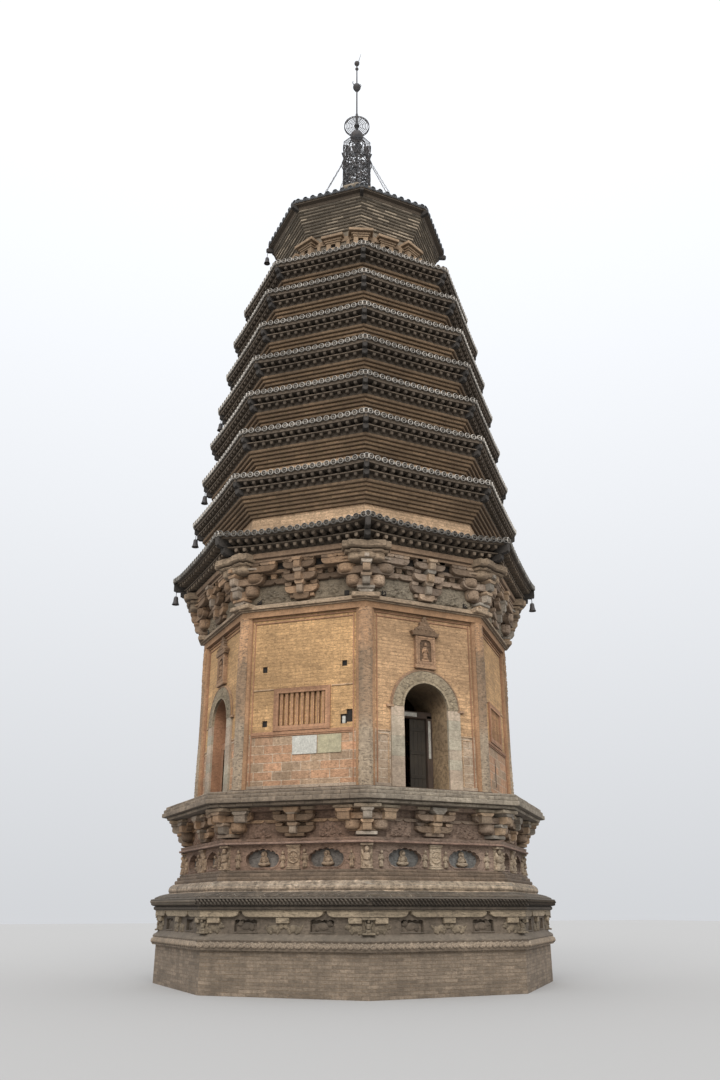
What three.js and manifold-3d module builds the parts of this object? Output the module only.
// Octagonal brick pagoda with nine close-set eaves, in millimetres, +Z up, origin at the middle of its foot.
// The door faces -Y. Sides are numbered anticlockwise from the door side, seen from above.
import * as THREE from "three";
import { mergeVertices } from "three/addons/utils/BufferGeometryUtils.js";
import Module from "manifold-3d";

const wasm = await Module();
wasm.setup();

const SIDES = 8;
const SIDE_ANGLE = (2 * Math.PI) / SIDES;
const HALF_ANGLE = SIDE_ANGLE / 2;
const FIT = 0.3;
const ALL_SIDES = [...Array(SIDES).keys()];

// Heights of the base, from the ground up
const FOOTING_TOP = 820;
const LOTUS_TOP = 980;
const LOWER_WALL_TOP = 1560;
const LOWER_CORNICE_TOP = 1800;
const PLINTH_TOP = 2120;
const WAIST_FOOT_TOP = 2330;
const WAIST_TOP = 2830;
const WAIST_BEAM_TOP = 2950;
const BASE_BRACKETS_TOP = 3580;
const LEDGE_TOP = 3900;

// The first storey, which has a room in it
const FLOOR_TOP = 3990;
const WALL_TOP = 7900;
const WALL_HEAD_TOP = 8040;
const BRACKETS_TOP = 9330;
const WALL_FACE = 3600;
const ROOM_FACE = 2250;
const COLUMN_RADIUS = 3785;
const COLUMN_FLAT = 400;

// The doorway and the blind doors
const DOOR_HALF = 565;
const DOOR_SPRING = 5740;
const SURROUND_WIDTH = 315;
const SURROUND_PROUD = 45;
const BLIND_DOOR_DEPTH = 320;
const ARCH_STEPS = 16;

// The timber frame in the passage and its two leaves
const FRAME_SETBACK = 680;
const FRAME_DEPTH = 120;
const POST_WIDTH = 145;
const SILL_HEIGHT = 110;
const LINTEL_BOTTOM = 5660;
const LINTEL_TOP = 5815;
const LINTEL_HALF = 550;
const LEAF_THICKNESS = 40;
const LEAF_CLEARANCE = 8;
const LEAF_HUNG_GAP = 12;
const LEAF_INSET = 20;
const PIN_RADIUS = 10;
const HINGE_X = DOOR_HALF - POST_WIDTH - 35;
const HINGE_DEPTH = WALL_FACE - FRAME_SETBACK - FRAME_DEPTH + LEAF_INSET + 12;

// The blind windows
const WINDOW_HALF = 675;
const WINDOW_BOTTOM = 5240;
const WINDOW_TOP = 6190;
const WINDOW_FRAME = 110;
const WINDOW_PROUD = 40;
const WINDOW_RECESS = 70;
const WINDOW_BARS = 9;
const WINDOW_BAR_WIDTH = 64;

// Eaves: radius to the corner of the tile edge, height of the middle of that edge,
// number of corbel courses under it and the corners that still have a bell
const EAVES = [
  { radius: 4980, height: 9750, courses: 0, bells: [1, 2, 3, 4, 5] },
  { radius: 4570, height: 11430, courses: 6, bells: [3, 5] },
  { radius: 4400, height: 12750, courses: 5, bells: [2, 5] },
  { radius: 4245, height: 13930, courses: 5, bells: [3] },
  { radius: 4090, height: 15090, courses: 5, bells: [3, 5] },
  { radius: 3915, height: 16250, courses: 5, bells: [2] },
  { radius: 3760, height: 17420, courses: 5, bells: [4] },
  { radius: 3500, height: 18570, courses: 4, bells: [3] },
];
const COURSE_OUT = 70;
const COURSE_RISE = 80;
const EAVE_DEPTH = 430;
const EAVE_SEAT = 320;
const TILE_HALF = 60;
const FIRST_EAVE_SEAT = 540;
const ROOF_RISE = 0.3;
const FIRST_ROOF_RISE = 0.16;
const STEEP_ROOF_RISE = 0.45;

// The ninth storey and its roof
const TOP_WALL_RADIUS = 2200;
const TOP_BLOCK_BOTTOM = 19300;
const TOP_BLOCK_TOP = 19800;
const TOP_CAP_TOP = 20020;
const TOP_CORBEL_BOTTOM = 20180;
const TOP_COURSES = 10;
const TOP_COURSE_OUT = 45;
const TOP_COURSE_RISE = 80;
const TOP_EAVE_RADIUS = 2850;
const TOP_EAVE_TOP = 21180;
const TOP_BELLS = [3, 5];
const ROOF_TOP = 22900;
const ROOF_TOP_RADIUS = 640;

// The iron finial
const DRUM_BOTTOM = 23450;
const DRUM_TOP = 24850;
const DRUM_RADIUS = 470;
const LOWER_WHEEL = { height: 25540, radii: [487, 390, 290], corners: 8, rim: 30, hub: 185 };
const UPPER_WHEEL = { height: 26460, radii: [435, 330, 220], corners: 24, rim: 80, hub: 100 };
const BUD_HEIGHT = 25480;
const BUD_RADIUS = 150;
const SMALL_BALL_RADIUS = 60;
const BALL_HEIGHT = 25970;
const BALL_RADIUS = 220;
const MAST_RADIUS = 42;
const STAY_TOP = 24700;
const STAY_FOOT_RADIUS = 1560;

const group = new THREE.Group();
group.name = "pagoda";

const COLOURS = {
  brick: 0xc09a62,
  stone: 0x8d8274,
  carved: 0x9b7654,
  tile: 0x4d463d,
  wood: 0x4a3b30,
  iron: 0x2b2a2c,
};

// A boolean solid of a three.js geometry
function solid(geometry) {
  const bare = geometry.clone();
  bare.deleteAttribute("normal");
  bare.deleteAttribute("uv");
  const merged = mergeVertices(bare, 1e-4);
  return new wasm.Manifold(
    new wasm.Mesh({
      numProp: 3,
      vertProperties: new Float32Array(merged.attributes.position.array),
      triVerts: new Uint32Array(merged.index.array),
    }),
  );
}

// One solid of several geometries or solids
function joined(pieces) {
  const solids = pieces.map((piece) =>
    piece.isBufferGeometry ? solid(piece) : piece,
  );
  return solids.reduce((whole, piece) => whole.add(piece));
}

// The first solid with the others taken out of it
function cut(body, tools) {
  return body.subtract(joined(tools));
}

function addNode(name, body, material) {
  let geometry = body;
  if (!body.isBufferGeometry) {
    const mesh = body.getMesh();
    geometry = new THREE.BufferGeometry();
    geometry.setAttribute(
      "position",
      new THREE.BufferAttribute(mesh.vertProperties, 3),
    );
    geometry.setIndex(new THREE.BufferAttribute(mesh.triVerts, 1));
  }
  geometry.computeVertexNormals();
  const mesh = new THREE.Mesh(
    geometry,
    new THREE.MeshStandardMaterial({
      color: COLOURS[material],
      flatShading: true,
    }),
  );
  mesh.name = name;
  group.add(mesh);
}

// A solid eight-sided turning of [radius to the corner, height] points, from the axis to the axis
function turned(profile, segments = SIDES) {
  const points = profile.map(([radius, height]) => new THREE.Vector2(radius, height));
  const geometry = new THREE.LatheGeometry(points, segments);
  geometry.rotateX(Math.PI / 2);
  geometry.rotateZ(HALF_ANGLE);
  return geometry;
}

// A solid stack of courses, each [radius to the corner, height of its bottom, height of its top]
function courses(list) {
  const profile = [[0, list[0][1]]];
  for (const [radius, bottom, top] of list) {
    profile.push([radius, bottom], [radius, top]);
  }
  profile.push([0, list[list.length - 1][2]]);
  return turned(profile);
}

// A block on the door side: left to right, from one distance from the axis to another, bottom to top
function block(left, right, near, far, bottom, top) {
  const geometry = new THREE.BoxGeometry(right - left, far - near, top - bottom);
  geometry.translate((left + right) / 2, -(near + far) / 2, (bottom + top) / 2);
  return geometry;
}

const onSide = (geometry, side) => geometry.clone().rotateZ(side * SIDE_ANGLE);
const onCorner = (geometry, corner) =>
  geometry.clone().rotateZ(corner * SIDE_ANGLE + HALF_ANGLE);
const onAllSides = (pieces) =>
  ALL_SIDES.flatMap((side) => pieces.map((piece) => onSide(piece, side)));
const onAllCorners = (pieces) =>
  ALL_SIDES.flatMap((corner) => pieces.map((piece) => onCorner(piece, corner)));

// An outline in the plane of the door side, made as deep as from near to far
function upright(shape, near, far) {
  const geometry = new THREE.ExtrudeGeometry(shape, {
    depth: far - near,
    bevelEnabled: false,
    curveSegments: ARCH_STEPS,
  });
  geometry.rotateX(Math.PI / 2);
  geometry.translate(0, -near, 0);
  return geometry;
}

// An outline seen from above, made as high as from bottom to top
function plan(points, bottom, top) {
  const shape = new THREE.Shape(points.map(([x, y]) => new THREE.Vector2(x, y)));
  const geometry = new THREE.ExtrudeGeometry(shape, {
    depth: top - bottom,
    bevelEnabled: false,
  });
  geometry.translate(0, 0, bottom);
  return geometry;
}

// A round-headed outline
function archShape(half, bottom, spring) {
  const shape = new THREE.Shape();
  shape.moveTo(-half, bottom);
  shape.lineTo(half, bottom);
  shape.lineTo(half, spring);
  shape.absarc(0, spring, half, 0, Math.PI, false);
  shape.lineTo(-half, bottom);
  return shape;
}

// The base

addNode("footing", courses([[4680, 0, FOOTING_TOP]]), "stone");

addNode(
  "lotus_band",
  turned([
    [0, FOOTING_TOP],
    [4780, FOOTING_TOP],
    [4900, FOOTING_TOP + 60],
    [4860, FOOTING_TOP + 120],
    [4720, LOTUS_TOP],
    [0, LOTUS_TOP],
  ]),
  "stone",
);

// The lower tier has long lintel panels parted by slots, and shallow niches under them
function lowerTier() {
  const faceRadius = 4640;
  const lintelRadius = 4740;
  const lintelFace = lintelRadius * Math.cos(HALF_ANGLE);
  const wallFace = faceRadius * Math.cos(HALF_ANGLE);
  const lintelBottom = 1430;
  const wall = turned([
    [0, LOTUS_TOP],
    [4760, LOTUS_TOP],
    [4760, 1060],
    [faceRadius, 1120],
    [faceRadius, lintelBottom],
    [lintelRadius, lintelBottom],
    [lintelRadius, LOWER_WALL_TOP - 20],
    [faceRadius, LOWER_WALL_TOP - 20],
    [faceRadius, LOWER_WALL_TOP],
    [0, LOWER_WALL_TOP],
  ]);
  const slots = [-1, 1].map((end) =>
    block(end * 905 - 45, end * 905 + 45, wallFace - 20, lintelFace + 50, lintelBottom - 50, LOWER_WALL_TOP - 10),
  );
  const niches = [-1, 1].map((end) =>
    block(end * 820 - 250, end * 820 + 250, wallFace - 110, wallFace + 50, 1150, 1395),
  );
  return cut(solid(wall), onAllSides([...slots, ...niches]));
}
addNode("lower_tier", lowerTier(), "stone");

addNode(
  "lower_cornice",
  turned([
    [0, LOWER_WALL_TOP],
    [4790, LOWER_WALL_TOP],
    [4790, 1630],
    [4890, 1665],
    [4910, 1765],
    [4830, LOWER_CORNICE_TOP],
    [0, LOWER_CORNICE_TOP],
  ]),
  "stone",
);

addNode(
  "plinth",
  turned([
    [0, LOWER_CORNICE_TOP],
    [4790, LOWER_CORNICE_TOP],
    [4540, 1900],
    [4440, 1925],
    [4460, 2000],
    [4430, 2080],
    [4370, PLINTH_TOP],
    [0, PLINTH_TOP],
  ]),
  "stone",
);

addNode(
  "waist_foot",
  courses([
    [4340, PLINTH_TOP, 2200],
    [4290, 2200, 2275],
    [4230, 2275, WAIST_FOOT_TOP],
  ]),
  "stone",
);

// The waist has two figure niches on each side, a pillar between them and a figure post on each corner
function waist() {
  const radius = 4150;
  const face = radius * Math.cos(HALF_ANGLE);
  const niches = [-1, 1].map((end) =>
    block(end * 715 - 375, end * 715 + 375, face - 130, face + 50, 2365, 2760),
  );
  const pillar = block(-145, 145, face - 100, face + 60, WAIST_FOOT_TOP, WAIST_TOP);
  const post = block(-115, 115, radius - 200, radius + 65, WAIST_FOOT_TOP, WAIST_TOP);
  const wall = cut(solid(courses([[radius, WAIST_FOOT_TOP, WAIST_TOP]])), onAllSides(niches));
  return joined([wall, ...onAllSides([pillar]), ...onAllCorners([post])]);
}
addNode("waist", waist(), "carved");

addNode("waist_beam", courses([[4290, WAIST_TOP, WAIST_BEAM_TOP]]), "carved");

// A bracket set: stacked arms, each [half width, reach from the axis, height of its bottom, height of its top]
const bracketSet = (root, tiers) =>
  tiers.map(([half, reach, bottom, top]) => block(-half, half, root, reach, bottom, top));

function baseBrackets() {
  const radius = 4050;
  const face = radius * Math.cos(HALF_ANGLE);
  const cornerSet = bracketSet(radius - 300, [
    [210, 4220, WAIST_BEAM_TOP, 3090],
    [470, 4310, 3090, 3300],
    [760, 4440, 3300, 3490],
    [300, 4560, 3490, BASE_BRACKETS_TOP],
  ]);
  const middleSet = bracketSet(face - 100, [
    [190, face + 130, WAIST_BEAM_TOP, 3080],
    [420, face + 190, 3080, 3300],
    [620, face + 280, 3300, 3490],
    [200, face + 400, 3490, BASE_BRACKETS_TOP],
  ]);
  const wall = courses([[radius, WAIST_BEAM_TOP, 3490], [4330, 3490, BASE_BRACKETS_TOP]]);
  return joined([wall, ...onAllCorners(cornerSet), ...onAllSides(middleSet)]);
}
addNode("base_brackets", baseBrackets(), "carved");

addNode(
  "ledge",
  courses([
    [4640, BASE_BRACKETS_TOP, 3650],
    [4770, 3650, 3750],
    [4730, 3750, 3830],
    [4680, 3830, LEDGE_TOP],
  ]),
  "stone",
);

// The first storey

addNode("floor_course", courses([[4060, LEDGE_TOP, FLOOR_TOP]]), "brick");

function cornerColumn(bottom, top, extra) {
  const across = COLUMN_FLAT / 2 + extra;
  const radius = across / Math.cos(HALF_ANGLE);
  const geometry = new THREE.CylinderGeometry(radius, radius, top - bottom, SIDES);
  geometry.rotateX(Math.PI / 2);
  geometry.rotateZ(HALF_ANGLE);
  geometry.translate(0, -COLUMN_RADIUS, (top + bottom) / 2);
  return geometry;
}

// Eight corner columns under one slab, which is the head of the walls and the ceiling of the room
addNode(
  "column_frame",
  joined([
    courses([[4010, WALL_TOP, WALL_HEAD_TOP]]),
    ...onAllCorners([cornerColumn(FLOOR_TOP, WALL_TOP + 50, 0)]),
  ]),
  "brick",
);

// The plain wall of one side, mitred to its neighbours behind the columns
function wallPlan() {
  const slope = Math.tan(HALF_ANGLE);
  const outer = WALL_FACE * slope - FIT;
  const inner = ROOM_FACE * slope - FIT;
  return [
    [-outer, -WALL_FACE],
    [outer, -WALL_FACE],
    [inner, -ROOM_FACE],
    [-inner, -ROOM_FACE],
  ];
}

function plainWall() {
  const seats = [0, SIDES - 1].map((corner) =>
    onCorner(cornerColumn(FLOOR_TOP - 50, WALL_TOP + 50, FIT), corner),
  );
  return cut(solid(plan(wallPlan(), FLOOR_TOP, WALL_TOP)), seats);
}

// The proud band round an arch, with its jambs down to the floor
function doorSurround() {
  const outer = upright(
    archShape(DOOR_HALF + SURROUND_WIDTH, FLOOR_TOP, DOOR_SPRING),
    WALL_FACE - 20,
    WALL_FACE + SURROUND_PROUD,
  );
  const inner = upright(
    archShape(DOOR_HALF, FLOOR_TOP - 50, DOOR_SPRING),
    WALL_FACE - 50,
    WALL_FACE + SURROUND_PROUD + 50,
  );
  return cut(solid(outer), [inner]);
}

// The little shrine in relief over each door
function shrine() {
  const wall = WALL_FACE - 20;
  return [
    block(-260, 260, wall, WALL_FACE + 90, 6640, 6720),
    block(-215, 215, wall, WALL_FACE + 60, 6710, 7410),
    block(-330, 330, wall, WALL_FACE + 120, 7400, 7480),
    block(-220, 220, wall, WALL_FACE + 100, 7475, 7570),
    block(-110, 110, wall, WALL_FACE + 75, 7565, 7720),
    block(-40, 40, wall, WALL_FACE + 60, 7715, 7850),
  ];
}

function windowWall() {
  const opening = WINDOW_HALF - WINDOW_FRAME;
  const frame = block(
    -WINDOW_HALF, WINDOW_HALF, WALL_FACE - 20, WALL_FACE + WINDOW_PROUD, WINDOW_BOTTOM, WINDOW_TOP,
  );
  const recess = block(
    -opening, opening, WALL_FACE - WINDOW_RECESS, WALL_FACE + 100,
    WINDOW_BOTTOM + WINDOW_FRAME, WINDOW_TOP - WINDOW_FRAME,
  );
  const pitch = (2 * opening) / WINDOW_BARS;
  const bars = [...Array(WINDOW_BARS).keys()].map((index) => {
    const middle = -opening + (index + 0.5) * pitch;
    return block(
      middle - WINDOW_BAR_WIDTH / 2, middle + WINDOW_BAR_WIDTH / 2,
      WALL_FACE - WINDOW_RECESS - 20, WALL_FACE + 10,
      WINDOW_BOTTOM + WINDOW_FRAME - 10, WINDOW_TOP - WINDOW_FRAME + 10,
    );
  });
  return joined([cut(joined([plainWall(), frame]), [recess]), ...bars]);
}

function blindDoorWall() {
  const recess = upright(
    archShape(DOOR_HALF, FLOOR_TOP + 60, DOOR_SPRING),
    WALL_FACE - BLIND_DOOR_DEPTH,
    WALL_FACE + 100,
  );
  const lintel = block(
    -DOOR_HALF - 20, DOOR_HALF + 20,
    WALL_FACE - BLIND_DOOR_DEPTH - 20, WALL_FACE - BLIND_DOOR_DEPTH + 90,
    LINTEL_BOTTOM - 500, LINTEL_TOP - 500,
  );
  const posts = [-1, 1].map((end) =>
    block(
      end * 480 - 85, end * 480 + 85,
      WALL_FACE - BLIND_DOOR_DEPTH - 20, WALL_FACE - BLIND_DOOR_DEPTH + 90,
      FLOOR_TOP + 30, LINTEL_BOTTOM - 490,
    ),
  );
  const wall = joined([plainWall(), doorSurround(), ...shrine()]);
  return joined([cut(wall, [recess]), lintel, ...posts]);
}

const SIDE_NAMES = [
  "front", "front_right", "right", "back_right", "back", "back_left", "left", "front_left",
];

// The holes left by scaffold poles and the places where brick is lost: left, right, bottom, top, depth
const WALL_HOLES = {
  front_left: [
    [-1000, -880, 6590, 6730, 250],
    [940, 1060, 6600, 6730, 250],
    [-960, -840, 5350, 5490, 250],
    [1050, 1190, 5350, 5630, 250],
    [910, 1060, 5320, 5530, 130],
  ],
  front_right: [[-200, -90, 4250, 4900, 200]],
};

function wallHole([left, right, bottom, top, depth]) {
  return block(left, right, WALL_FACE - depth, WALL_FACE + 100, bottom, top);
}
for (const side of ALL_SIDES.slice(1)) {
  const whole = side % 2 === 1 ? windowWall() : blindDoorWall();
  const holes = WALL_HOLES[SIDE_NAMES[side]] ?? [];
  const wall = holes.length > 0 ? cut(whole, holes.map(wallHole)) : whole;
  const turn = (side * 360) / SIDES;
  addNode(`wall_${SIDE_NAMES[side]}`, wall.rotate([0, 0, turn]), "brick");
}

// The door side: a pier on each side of the passage and the wall over it
function frontPiers() {
  const wall = plainWall();
  const below = WALL_TOP - DOOR_SPRING;
  const tall = 2 * WALL_FACE;
  const over = block(-tall, tall, 0, tall, DOOR_SPRING, DOOR_SPRING + 2 * below);
  const passage = upright(
    archShape(DOOR_HALF, FLOOR_TOP - 100, DOOR_SPRING),
    ROOM_FACE - 500,
    WALL_FACE + 200,
  );
  const open = cut(wall, [passage]);
  const low = cut(open, [over]);
  const [first, second] = low.decompose();
  const isLeft = first.boundingBox().max[0] < 0;
  return {
    left: isLeft ? first : second,
    right: isLeft ? second : first,
    over: open.intersect(solid(over)),
  };
}
const front = frontPiers();
addNode("wall_front_left_pier", front.left, "brick");
addNode("wall_front_right_pier", front.right, "brick");
addNode("wall_front_over_door", joined([front.over, ...shrine()]), "brick");

// The surround of the open doorway stands on the wall as a piece of its own
addNode(
  "door_surround",
  cut(doorSurround(), [block(-2000, 2000, WALL_FACE - 100, WALL_FACE, 0, WALL_TOP)]),
  "stone",
);

// The timber door frame, set back in the passage
const frameFront = WALL_FACE - FRAME_SETBACK;
const frameBack = frameFront - FRAME_DEPTH;
addNode(
  "door_frame",
  joined([
    block(-DOOR_HALF, DOOR_HALF, frameBack, frameFront, FLOOR_TOP, FLOOR_TOP + SILL_HEIGHT),
    block(-DOOR_HALF, -DOOR_HALF + POST_WIDTH, frameBack, frameFront, FLOOR_TOP, DOOR_SPRING),
    block(DOOR_HALF - POST_WIDTH, DOOR_HALF, frameBack, frameFront, FLOOR_TOP, DOOR_SPRING),
    block(-LINTEL_HALF, LINTEL_HALF, frameBack, frameFront, LINTEL_BOTTOM, LINTEL_TOP),
  ]),
  "wood",
);

// A leaf of the door as it stands when shut, with a pivot pin at its head and foot
function doorLeaf(end) {
  const span = DOOR_HALF - POST_WIDTH;
  const bottom = FLOOR_TOP + SILL_HEIGHT + LEAF_CLEARANCE;
  const top = LINTEL_BOTTOM - LEAF_CLEARANCE;
  const near = frameBack + LEAF_INSET;
  const free = (end * LEAF_CLEARANCE) / 2;
  const hung = end * (span - LEAF_HUNG_GAP);
  const board = block(Math.min(free, hung), Math.max(free, hung), near, near + LEAF_THICKNESS, bottom, top);
  const pin = new THREE.CylinderGeometry(PIN_RADIUS, PIN_RADIUS, top - bottom + 2 * (LEAF_CLEARANCE - FIT), 8);
  pin.rotateX(Math.PI / 2);
  pin.translate(end * HINGE_X, -HINGE_DEPTH, (bottom + top) / 2);
  return joined([board, pin]);
}

// The right leaf is shut and the left one stands open inwards
addNode("door_leaf_right", doorLeaf(1), "wood");
addNode(
  "door_leaf_left",
  doorLeaf(-1)
    .translate([HINGE_X, HINGE_DEPTH, 0])
    .rotate([0, 0, 90])
    .translate([-HINGE_X, -HINGE_DEPTH, 0]),
  "wood",
);

// The bracket belt under the first eave
function bracketBelt() {
  const radius = 3990;
  const face = radius * Math.cos(HALF_ANGLE);
  const boardTop = 8180;
  const cornerSet = bracketSet(radius - 300, [
    [230, 4250, boardTop, 8380],
    [450, 4340, 8380, 8620],
    [700, 4480, 8620, 8870],
    [500, 4500, 8870, 9120],
    [560, 4580, 9120, BRACKETS_TOP - 20],
  ]);
  const middleSet = bracketSet(face - 100, [
    [220, face + 150, boardTop, 8380],
    [480, face + 220, 8380, 8620],
    [760, face + 320, 8620, 8870],
    [900, face + 400, 8870, 9100],
  ]);
  const wall = courses([
    [4120, WALL_HEAD_TOP, boardTop],
    [radius, boardTop, 9090],
    [4420, 9090, 9190],
    [4480, 9190, BRACKETS_TOP],
  ]);
  return joined([wall, ...onAllCorners(cornerSet), ...onAllSides(middleSet)]);
}
addNode("bracket_belt", bracketBelt(), "carved");

// Storeys and eaves

const corbelRadius = (eave) => eave.radius - EAVE_SEAT;
const wallRadius = (eave) => corbelRadius(eave) - eave.courses * COURSE_OUT;
const eaveBottom = (eave) => eave.height - EAVE_DEPTH;

// The height at which the roof over an eave meets the wall of the next storey
function roofTop(level) {
  const eave = EAVES[level];
  const next = EAVES[level + 1];
  const wall = next ? wallRadius(next) : TOP_WALL_RADIUS;
  const laterRise = next ? ROOF_RISE : STEEP_ROOF_RISE;
  const rise = level === 0 ? FIRST_ROOF_RISE : laterRise;
  return {
    radius: wall,
    height: Math.round(eave.height + TILE_HALF + rise * (eave.radius - wall)),
  };
}

// A bell of cast iron on a rod under the corner of an eave
function bell(radius, top) {
  const hook = block(-12, 12, radius - 12, radius + 12, top - 130, top + 40);
  const points = [
    [0, -350], [105, -350], [70, -180], [0, -120],
  ].map(([x, y]) => new THREE.Vector2(x, y));
  const body = new THREE.LatheGeometry(points, 6);
  body.rotateX(Math.PI / 2);
  body.translate(0, -radius, top);
  return [hook, body];
}

function eaveSolid(level) {
  const eave = EAVES[level];
  const bottom = level === 0 ? BRACKETS_TOP : eaveBottom(eave);
  const seat = level === 0 ? eave.radius - FIRST_EAVE_SEAT : corbelRadius(eave);
  const { radius: wall, height: top } = roofTop(level);
  const reach = eave.radius;
  const edge = eave.height;
  const lowerReach = level === 0 ? reach - 330 : reach - 190;
  const upperReach = level === 0 ? reach - 140 : reach - 90;
  const body = turned([
    [0, bottom],
    [seat, bottom],
    [lowerReach, bottom + 20],
    [lowerReach, bottom + 150],
    [upperReach, bottom + 170],
    [upperReach, bottom + 290],
    [reach, edge - TILE_HALF],
    [reach, edge + TILE_HALF],
    [wall, top],
    [0, top],
  ]);
  const rowTop = bottom + 180;
  const beam = block(-95, 95, seat - 200, reach - 60, rowTop - 60, edge - 30);
  const bells = eave.bells.flatMap((corner) =>
    bell(reach - 130, rowTop - 20).map((piece) => onCorner(piece, corner)),
  );
  return joined([body, ...onAllCorners([beam]), ...bells]);
}

function storeySolid(level) {
  const eave = EAVES[level];
  const wall = wallRadius(eave);
  const corbelBottom = eaveBottom(eave) - eave.courses * COURSE_RISE;
  const list = [[wall, roofTop(level - 1).height, corbelBottom]];
  for (let index = 0; index < eave.courses; index += 1) {
    const bottom = corbelBottom + index * COURSE_RISE;
    list.push([wall + (index + 1) * COURSE_OUT, bottom, bottom + COURSE_RISE]);
  }
  return courses(list);
}

EAVES.forEach((eave, level) => {
  const number = level + 1;
  if (level > 0) {
    addNode(`storey_${number}`, storeySolid(level), "brick");
  }
  addNode(`eave_${number}`, eaveSolid(level), "tile");
});

// The ninth storey: a low wall with capped blocks, and corbels that flare out to the tiles
function topStorey() {
  const bottom = roofTop(EAVES.length - 1).height;
  const face = TOP_WALL_RADIUS * Math.cos(HALF_ANGLE);
  const list = [[TOP_WALL_RADIUS, bottom, TOP_CORBEL_BOTTOM]];
  for (let index = 0; index < TOP_COURSES; index += 1) {
    const low = TOP_CORBEL_BOTTOM + index * TOP_COURSE_RISE;
    list.push([TOP_WALL_RADIUS + (index + 1) * TOP_COURSE_OUT, low, low + TOP_COURSE_RISE]);
  }
  const cap = (root) => [
    block(-210, 210, root - 100, root + 60, TOP_BLOCK_BOTTOM, TOP_BLOCK_TOP),
    block(-280, 280, root - 100, root + 120, TOP_BLOCK_TOP, TOP_CAP_TOP - 100),
    block(-355, 355, root - 100, root + 200, TOP_CAP_TOP - 100, TOP_CAP_TOP),
  ];
  const socket = (root) => block(-75, 75, root - 60, root + 250, TOP_BLOCK_TOP - 170, TOP_BLOCK_TOP - 40);
  const body = joined([
    courses(list),
    ...onAllSides(cap(face)),
    ...onAllCorners(cap(TOP_WALL_RADIUS - 30)),
  ]);
  return cut(body, [
    ...onAllSides([socket(face)]),
    ...onAllCorners([socket(TOP_WALL_RADIUS - 30)]),
  ]);
}
addNode("storey_9", topStorey(), "brick");

function topEave() {
  const bottom = TOP_CORBEL_BOTTOM + TOP_COURSES * TOP_COURSE_RISE;
  const seat = TOP_WALL_RADIUS + TOP_COURSES * TOP_COURSE_OUT;
  const body = turned([
    [0, bottom],
    [seat + 20, bottom],
    [seat + 40, bottom + 90],
    [TOP_EAVE_RADIUS - 20, bottom + 110],
    [TOP_EAVE_RADIUS, bottom + 130],
    [TOP_EAVE_RADIUS, TOP_EAVE_TOP],
    [0, TOP_EAVE_TOP],
  ]);
  const beam = block(-75, 75, seat + 30, TOP_EAVE_RADIUS + 60, bottom - 130, bottom + 105);
  const bells = TOP_BELLS.flatMap((corner) =>
    bell(TOP_EAVE_RADIUS - 10, bottom - 120).map((piece) => onCorner(piece, corner)),
  );
  return joined([body, ...onAllCorners([beam]), ...bells]);
}
addNode("eave_9", topEave(), "tile");

// The roof: eight tiled slopes and eight hip ridges up to the seat of the finial
function topRoof() {
  const slope = turned([
    [0, TOP_EAVE_TOP],
    [TOP_EAVE_RADIUS, TOP_EAVE_TOP],
    [TOP_EAVE_RADIUS - 20, TOP_EAVE_TOP + 50],
    [1650, 22010],
    [ROOF_TOP_RADIUS, ROOF_TOP],
    [0, ROOF_TOP],
  ]);
  const ridge = new THREE.Shape();
  ridge.moveTo(ROOF_TOP_RADIUS - 60, ROOF_TOP - 300);
  ridge.lineTo(ROOF_TOP_RADIUS - 60, ROOF_TOP);
  ridge.lineTo(ROOF_TOP_RADIUS + 60, ROOF_TOP);
  ridge.lineTo(1650, 22140);
  ridge.lineTo(2700, 21400);
  ridge.lineTo(2700, 21190);
  const upstand = new THREE.ExtrudeGeometry(ridge, { depth: 150, bevelEnabled: false });
  upstand.rotateX(Math.PI / 2);
  upstand.translate(0, 75, 0);
  upstand.rotateZ(-Math.PI / 2);
  return joined([slope, ...onAllCorners([upstand])]);
}
addNode("top_roof", topRoof(), "tile");

// The finial

addNode(
  "finial_seat",
  turned([
    [0, ROOF_TOP],
    [620, ROOF_TOP],
    [620, 23010],
    [500, 23070],
    [500, 23200],
    [600, 23280],
    [640, 23380],
    [560, DRUM_BOTTOM],
    [0, DRUM_BOTTOM],
  ]),
  "brick",
);

// A ring of iron round the axis, [inner radius, outer radius, bottom, top]
function hoop([inner, outer, bottom, top], segments = 24) {
  const points = [
    [inner, bottom], [outer, bottom], [outer, top], [inner, top], [inner, bottom],
  ].map(([x, y]) => new THREE.Vector2(x, y));
  const geometry = new THREE.LatheGeometry(points, segments);
  geometry.rotateX(Math.PI / 2);
  return geometry;
}

// The openwork drum: three hoops, bars that lean both ways between them, and a foot and a head
function drum() {
  const shell = solid(hoop([DRUM_RADIUS - 45, DRUM_RADIUS, DRUM_BOTTOM, DRUM_TOP], 16));
  const rows = 3;
  const around = 8;
  const rowHeight = (DRUM_TOP - DRUM_BOTTOM - 200) / rows;
  const holes = [];
  for (let row = 0; row < rows; row += 1) {
    for (let index = 0; index < around; index += 1) {
      const height = DRUM_BOTTOM + 100 + (row + 0.5) * rowHeight;
      const turn = ((index + (row % 2) * 0.5) * 2 * Math.PI) / around;
      const hole = new THREE.BoxGeometry(200, 400, 200);
      hole.rotateY(Math.PI / 4);
      hole.translate(0, -DRUM_RADIUS, height);
      hole.rotateZ(turn);
      holes.push(hole);
    }
  }
  const foot = hoop([60, DRUM_RADIUS + 20, DRUM_BOTTOM, DRUM_BOTTOM + 60], 16);
  const head = hoop([60, DRUM_RADIUS + 15, DRUM_TOP - 50, DRUM_TOP], 16);
  return joined([cut(shell, holes), foot, head]);
}
addNode("finial_drum", drum(), "iron");

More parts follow.
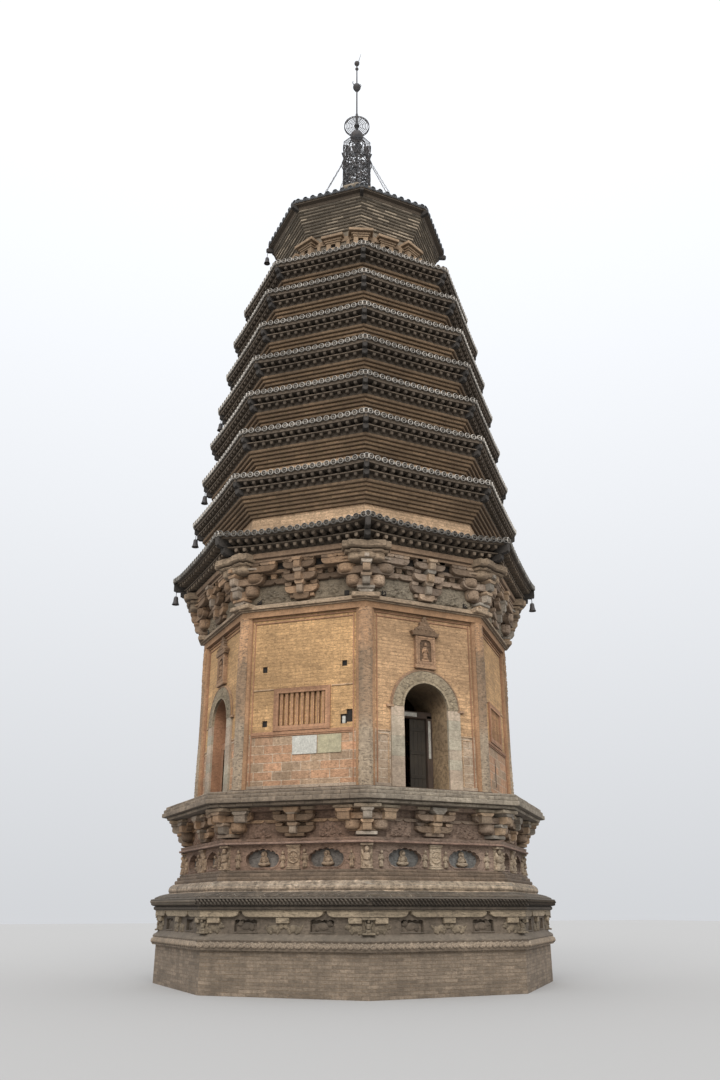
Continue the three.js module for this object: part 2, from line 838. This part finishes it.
// The crown of upright leaves on the drum
function crown() {
  const leaves = ALL_SIDES.map((index) => {
    const leaf = new THREE.Shape();
    leaf.moveTo(-130, 0);
    leaf.lineTo(130, 0);
    leaf.lineTo(170, 260);
    leaf.lineTo(0, 520);
    leaf.lineTo(-170, 260);
    const geometry = new THREE.ExtrudeGeometry(leaf, { depth: 40, bevelEnabled: false });
    geometry.rotateX(Math.PI / 2 - 0.12);
    geometry.translate(0, -DRUM_RADIUS + 70, DRUM_TOP + 20);
    geometry.rotateZ(index * SIDE_ANGLE);
    return geometry;
  });
  const base = hoop([60, DRUM_RADIUS - 20, DRUM_TOP, DRUM_TOP + 50], 16);
  return joined([base, ...leaves]);
}
addNode("finial_crown", crown(), "iron");

// A ball round the axis
function ball(radius, height) {
  const geometry = new THREE.SphereGeometry(radius, 12, 8);
  geometry.rotateX(Math.PI / 2);
  geometry.translate(0, 0, height);
  return geometry;
}

// An upright rod on the axis
function rod(radius, bottom, top) {
  const geometry = new THREE.CylinderGeometry(radius, radius, top - bottom, 8);
  geometry.rotateX(Math.PI / 2);
  geometry.translate(0, 0, (bottom + top) / 2);
  return geometry;
}

// A straight bar between two points
function bar(from, to, radius, sides = 6) {
  const start = new THREE.Vector3(...from);
  const span = new THREE.Vector3(...to).sub(start);
  const geometry = new THREE.CylinderGeometry(radius, radius, span.length(), sides);
  geometry.applyQuaternion(
    new THREE.Quaternion().setFromUnitVectors(new THREE.Vector3(0, 1, 0), span.clone().normalize()),
  );
  geometry.translate(...start.add(span.multiplyScalar(0.5)).toArray());
  return geometry;
}

// A flat wheel on the mast: level rings joined by spokes to a hub, the outermost with a rim that hangs down
function wheel({ height, radii, corners, rim, hub }) {
  const rings = radii.map((radius, index) =>
    hoop([radius - 26, radius, height - (index === 0 ? rim : 13), height + 13], corners),
  );
  const spokes = ALL_SIDES.map((index) => {
    const turn = index * SIDE_ANGLE;
    const [from, to] = [hub - 20, radii[0] - 13].map((reach) => [
      reach * Math.sin(turn), -reach * Math.cos(turn), height,
    ]);
    return bar(from, to, 12);
  });
  const middle = hoop([20, hub, height - 28, height + 28], 16);
  return cut(joined([middle, ...rings, ...spokes]), [
    rod(MAST_RADIUS + FIT, height - 300, height + 300),
    ball(BUD_RADIUS + FIT, BUD_HEIGHT),
    ball(SMALL_BALL_RADIUS + FIT, UPPER_WHEEL.height),
  ]);
}

// The mast carries the bud, the balls and the ornament at its tip
function mast() {
  const horns = [-1, 1].map((end) =>
    bar([end * 100, 0, 28330], [end * 150, 0, 28480], 14),
  );
  return joined([
    rod(MAST_RADIUS, DRUM_BOTTOM, 27000),
    rod(26, 26990, 29400),
    ball(BUD_RADIUS, BUD_HEIGHT),
    ball(BALL_RADIUS, BALL_HEIGHT),
    ball(SMALL_BALL_RADIUS, UPPER_WHEEL.height),
    ball(135, 28260),
    ...horns,
    ball(60, 29140),
    ball(95, 29400),
    bar([40, 0, 29420], [170, 0, 29970], 12),
  ]);
}
addNode("finial_mast", mast(), "iron");
addNode("finial_lower_wheel", wheel(LOWER_WHEEL), "iron");
addNode("finial_upper_wheel", wheel(UPPER_WHEEL), "iron");

// Eight stays from a collar round the drum down to the hip ridges
function stays() {
  const collar = hoop([DRUM_RADIUS + 15 + FIT, DRUM_RADIUS + 45, STAY_TOP, STAY_TOP + 40], 16);
  const stay = [
    bar([0, -DRUM_RADIUS - 30, STAY_TOP + 20], [0, -STAY_FOOT_RADIUS, 22290], 12, 4),
    block(-40, 40, STAY_FOOT_RADIUS - 40, STAY_FOOT_RADIUS + 40, 22100, 22310),
  ];
  const roof = topRoof().translate([0, 0, FIT]);
  return joined([collar, ...onAllCorners(stay)]).subtract(roof);
}
addNode("finial_stays", stays(), "iron");

export default group;
